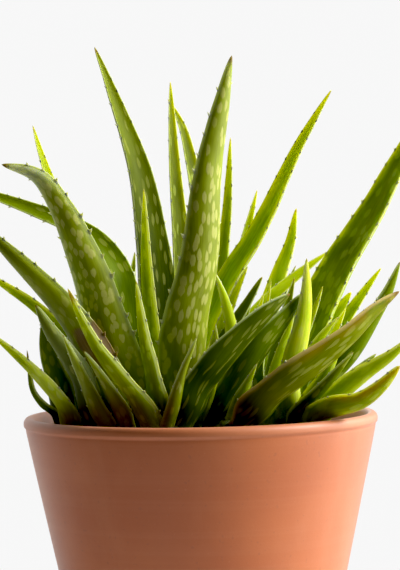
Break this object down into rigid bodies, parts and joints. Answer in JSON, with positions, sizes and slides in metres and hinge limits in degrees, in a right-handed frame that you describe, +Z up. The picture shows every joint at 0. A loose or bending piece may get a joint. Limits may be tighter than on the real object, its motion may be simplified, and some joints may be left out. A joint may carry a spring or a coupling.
{
  "type": "potted aloe plant",
  "caption": "Potted aloe: several rosettes of pointed, spotted, toothed leaves growing from soil in a plain tapered terracotta pot with a rounded lip and drain holes.",
  "frame": {"origin": "middle of the pot's flat underside, on the surface that it stands on", "axes": "+Z up the pot's axis, -Y toward the front of the plant, +X to the plant's right seen from the front"},
  "size_m": [0.271, 0.2, 0.394],
  "materials": {
    "terracotta": "unglazed fired clay, matte",
    "potting_soil": "loose dark potting mix",
    "crown_stem": "pale green stem",
    "dark_leaf": "waxy dark green leaf with pale spots",
    "olive_leaf": "waxy olive leaf with cream spots",
    "bright_leaf": "waxy bright yellow-green leaf"
  },
  "bodies": {
    "root": {"pot": "terracotta", "soil": "potting_soil", "crown_front": "crown_stem", "crown_front_left": "crown_stem", "crown_left": "crown_stem", "crown_mid_left": "crown_stem", "crown_centre": "crown_stem", "crown_front_right": "crown_stem", "crown_right": "crown_stem", "crown_back_right": "crown_stem", "crown_back": "crown_stem", "leaf_front_left": "olive_leaf", "leaf_front_upright": "bright_leaf", "leaf_front_short": "olive_leaf", "leaf_front_right_broad": "dark_leaf", "leaf_left_long": "olive_leaf", "leaf_left_low_short": "olive_leaf", "leaf_left_low_olive": "olive_leaf", "leaf_left_grey": "dark_leaf", "leaf_left_arched": "bright_leaf", "leaf_left_shaded": "dark_leaf", "leaf_left_low_pale": "bright_leaf", "leaf_left_low_bent": "dark_leaf", "leaf_left_curled": "olive_leaf", "leaf_left_behind": "dark_leaf", "leaf_far_left_thin": "bright_leaf", "leaf_mid_left_short": "dark_leaf", "leaf_centre_tall": "olive_leaf", "leaf_centre_left_upright": "bright_leaf", "leaf_centre_right_dark": "dark_leaf", "leaf_centre_pale_edged": "bright_leaf", "leaf_centre_right_round": "dark_leaf", "leaf_centre_yellow": "bright_leaf", "leaf_centre_small": "bright_leaf", "leaf_front_right_long": "olive_leaf", "leaf_front_right_small": "bright_leaf", "leaf_right_outer": "dark_leaf", "leaf_right_low_long": "bright_leaf", "leaf_right_lowest": "bright_leaf", "leaf_right_low_dark": "dark_leaf", "leaf_right_low_first": "bright_leaf", "leaf_right_low_second": "dark_leaf", "leaf_right_bright_upright": "bright_leaf", "leaf_right_small_tip": "bright_leaf", "leaf_right_small_bright": "bright_leaf", "leaf_right_broad_spotted": "dark_leaf", "leaf_right_outer_thin": "bright_leaf", "leaf_right_rounded": "bright_leaf", "leaf_rear_pale": "bright_leaf", "leaf_rear_small": "dark_leaf", "leaf_rear_right_low": "dark_leaf", "leaf_back_slender": "bright_leaf", "leaf_back_leaning": "bright_leaf", "leaf_back_thin": "bright_leaf", "leaf_right_diagonal_long": "dark_leaf", "leaf_back_thin_short": "bright_leaf", "leaf_back_left_tall": "dark_leaf", "leaf_back_right_bright": "bright_leaf", "leaf_rear_left_low": "dark_leaf", "leaf_rear_middle_low": "dark_leaf"}
  },
  "joints": []
}
